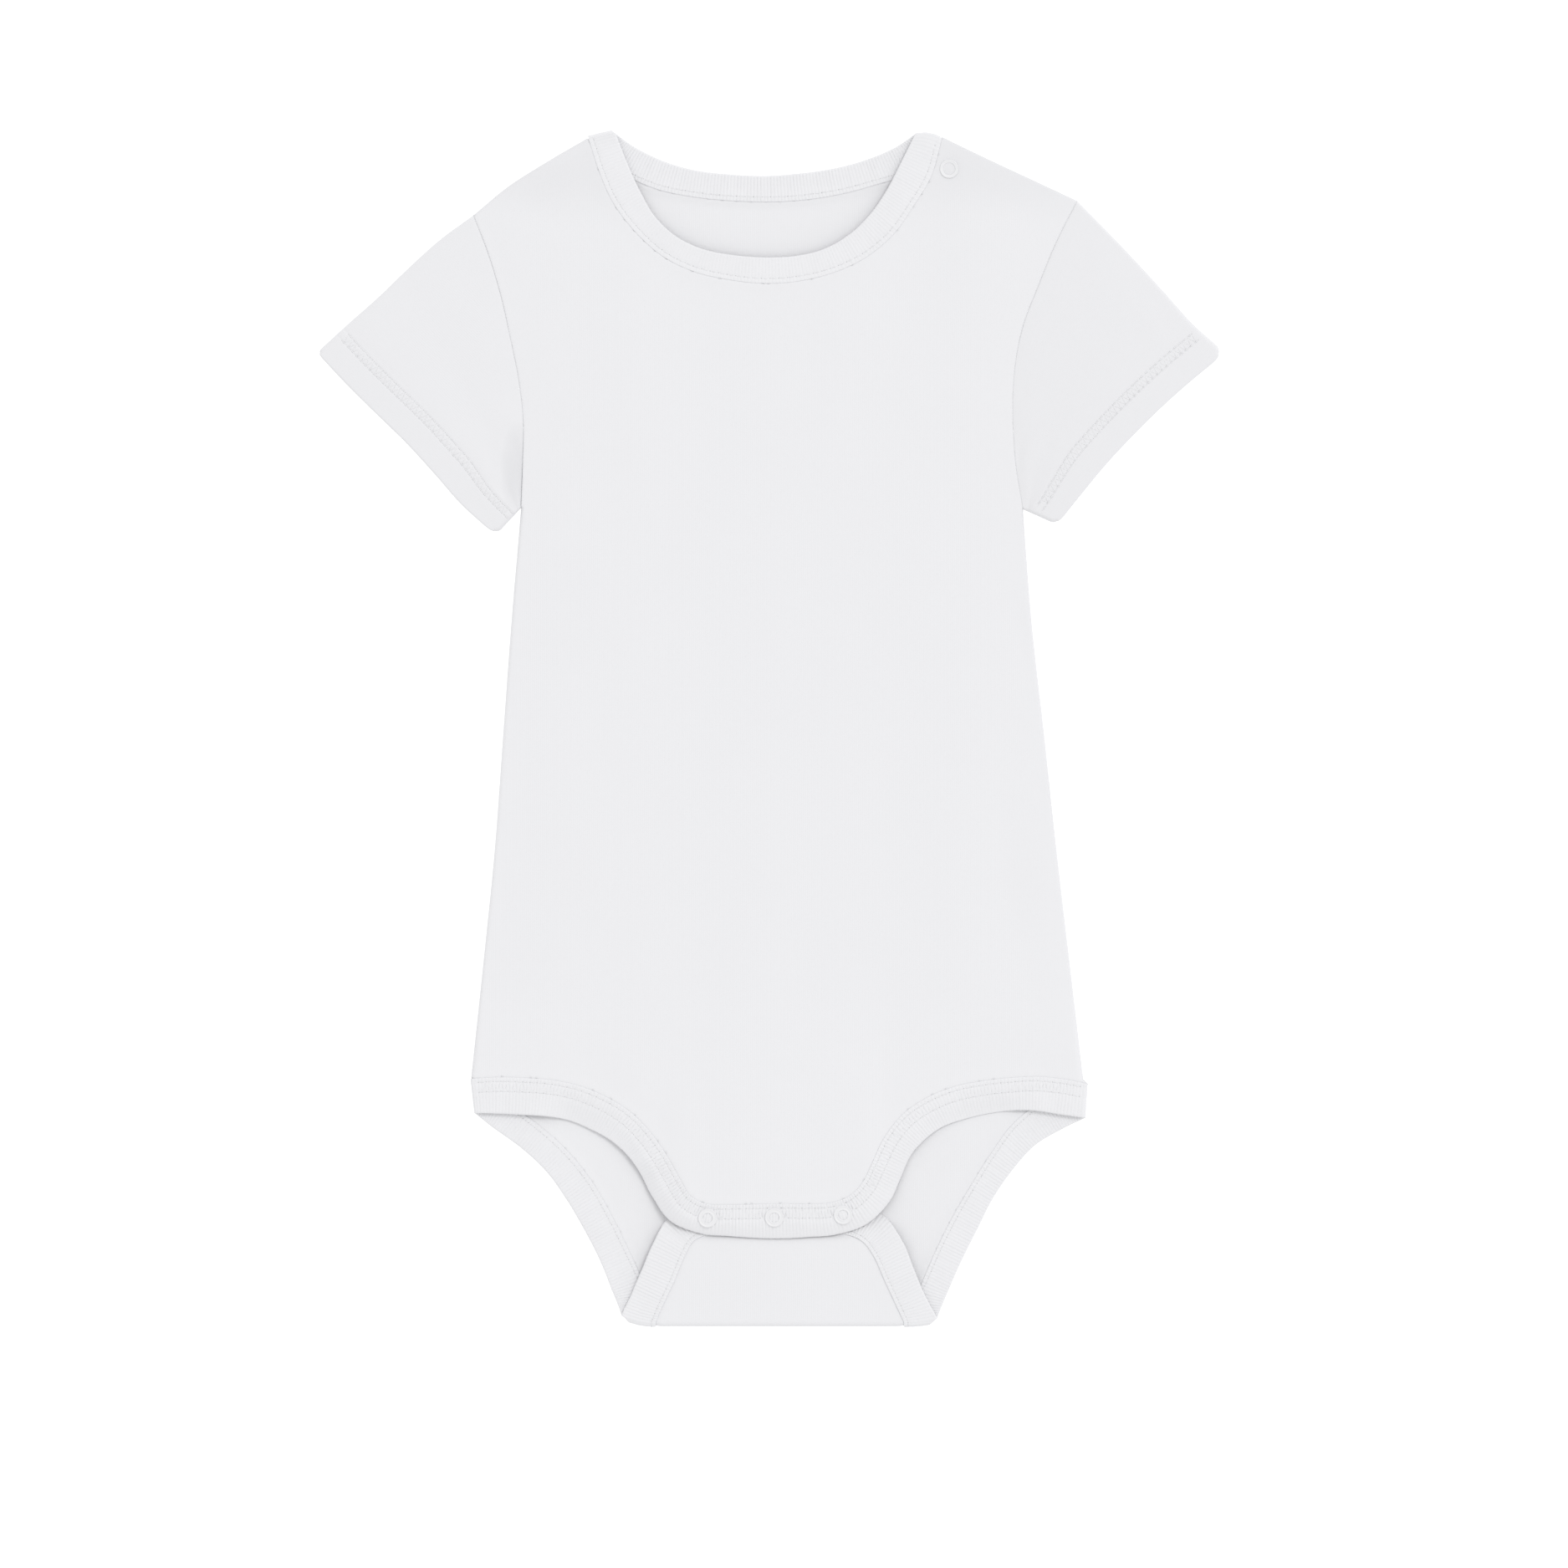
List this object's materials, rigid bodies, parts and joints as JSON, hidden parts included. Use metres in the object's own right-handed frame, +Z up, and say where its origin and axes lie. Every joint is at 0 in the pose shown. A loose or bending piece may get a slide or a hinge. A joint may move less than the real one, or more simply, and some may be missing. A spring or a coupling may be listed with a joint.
{
  "type": "baby bodysuit",
  "caption": "Short-sleeved round-neck baby bodysuit in white knit, laid flat, with rib-bound neck and leg edges, a crotch flap folded up under a snapped placket, and a snap at one shoulder.",
  "frame": {"origin": "middle of the garment's bounding box in plan, on the surface it lies on", "axes": "+X to the wearer's left, +Y from crotch to neck, +Z up through the front"},
  "size_m": [0.345, 0.4572, 0.0081],
  "materials": {
    "jersey": "fine white cotton knit, matt",
    "rib": "white one-by-one rib, matt",
    "snap_enamel": "white enamel, satin",
    "snap_metal": "plain plated metal"
  },
  "bodies": {
    "root": {"front_panel": "jersey", "back_panel": "jersey", "sleeve_right": "jersey", "sleeve_left": "jersey", "neck_binding": "rib", "front_edge_binding": "rib", "back_edge_binding": "rib", "snap_1_stud": "snap_metal", "snap_1_socket": "snap_metal", "snap_1_ring": "snap_enamel", "snap_2_stud": "snap_metal", "snap_2_socket": "snap_metal", "snap_2_ring": "snap_enamel", "snap_3_stud": "snap_metal", "snap_3_socket": "snap_metal", "snap_3_ring": "snap_enamel", "snap_shoulder_stud": "snap_metal", "snap_shoulder_socket": "snap_metal", "snap_shoulder_ring": "snap_enamel"}
  },
  "joints": []
}
